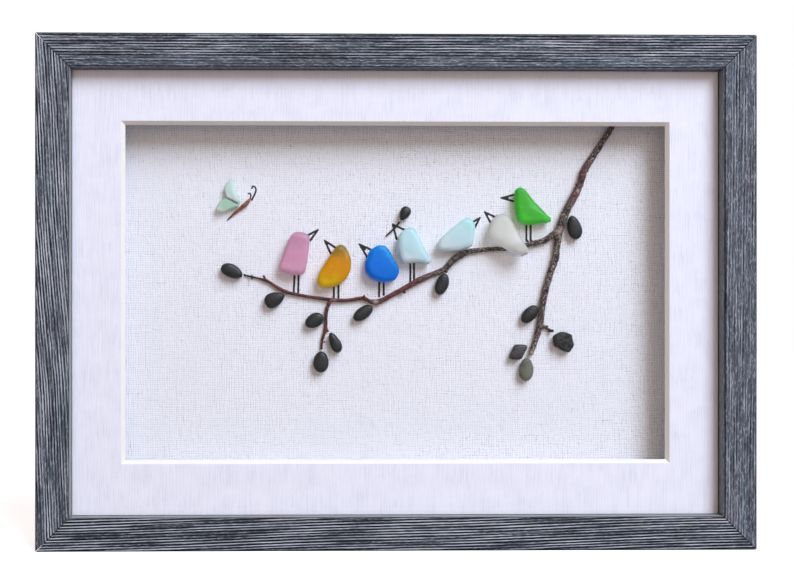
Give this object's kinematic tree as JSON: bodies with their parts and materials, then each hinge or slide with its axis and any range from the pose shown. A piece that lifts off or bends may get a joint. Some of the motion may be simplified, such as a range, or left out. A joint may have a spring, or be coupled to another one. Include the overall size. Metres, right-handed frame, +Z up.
{
  "type": "framed sea-glass picture",
  "caption": "Shallow box frame with a window mat and a canvas that carries sea-glass birds on a twig, pebble leaves and a butterfly.",
  "frame": {"origin": "middle of the underside of the bottom rail, halfway through the frame's depth", "axes": "+X to the picture's right, +Y from the picture's face towards the wall, +Z up the picture"},
  "size_m": [0.3204, 0.03, 0.2294],
  "materials": {
    "grey_wood": "grained, grey-blue stain",
    "mat_card": "ribbed white",
    "spacer_card": "matte",
    "canvas": "woven, primed white",
    "hardboard": "smooth hardboard",
    "zinc_steel": "zinc plated",
    "bark": "rough bark",
    "brown_sliver": "weathered",
    "dark_pebble": "sea-worn matte",
    "grey_pebble": "sea-worn matte",
    "olive_pebble": "sea-worn matte",
    "glass_pink": "frosted",
    "glass_amber": "frosted",
    "glass_blue": "frosted",
    "glass_pale_blue": "frosted",
    "glass_aqua": "frosted",
    "glass_clear": "frosted",
    "glass_green": "frosted",
    "glass_wing": "frosted"
  },
  "bodies": {
    "root": {"rail_bottom": "grey_wood", "rail_top": "grey_wood", "rail_left": "grey_wood", "rail_right": "grey_wood", "mat_board": "mat_card", "spacer_bottom": "spacer_card", "spacer_top": "spacer_card", "spacer_left": "spacer_card", "spacer_right": "spacer_card", "canvas_panel": "canvas", "back_board": "hardboard", "tab_1": "zinc_steel", "tab_2": "zinc_steel", "tab_3": "zinc_steel", "tab_4": "zinc_steel", "tab_5": "zinc_steel", "tab_6": "zinc_steel", "tab_7": "zinc_steel", "tab_8": "zinc_steel", "hanger": "zinc_steel", "hanger_nail_left": "zinc_steel", "hanger_nail_right": "zinc_steel", "twig": "bark", "beak_sprig": "bark", "bird_pink": "glass_pink", "bird_amber": "glass_amber", "bird_blue": "glass_blue", "bird_pale": "glass_pale_blue", "bird_aqua": "glass_aqua", "bird_clear": "glass_clear", "bird_green": "glass_green", "pebble_01": "dark_pebble", "pebble_02": "dark_pebble", "pebble_03": "dark_pebble", "pebble_04": "dark_pebble", "pebble_05": "dark_pebble", "pebble_06": "dark_pebble", "pebble_07": "dark_pebble", "pebble_08": "dark_pebble", "pebble_09": "dark_pebble", "pebble_10": "dark_pebble", "pebble_11": "dark_pebble", "pebble_12": "grey_pebble", "pebble_13": "olive_pebble", "wing_upper": "glass_wing", "wing_lower": "glass_wing", "butterfly_body": "brown_sliver"}
  },
  "joints": []
}
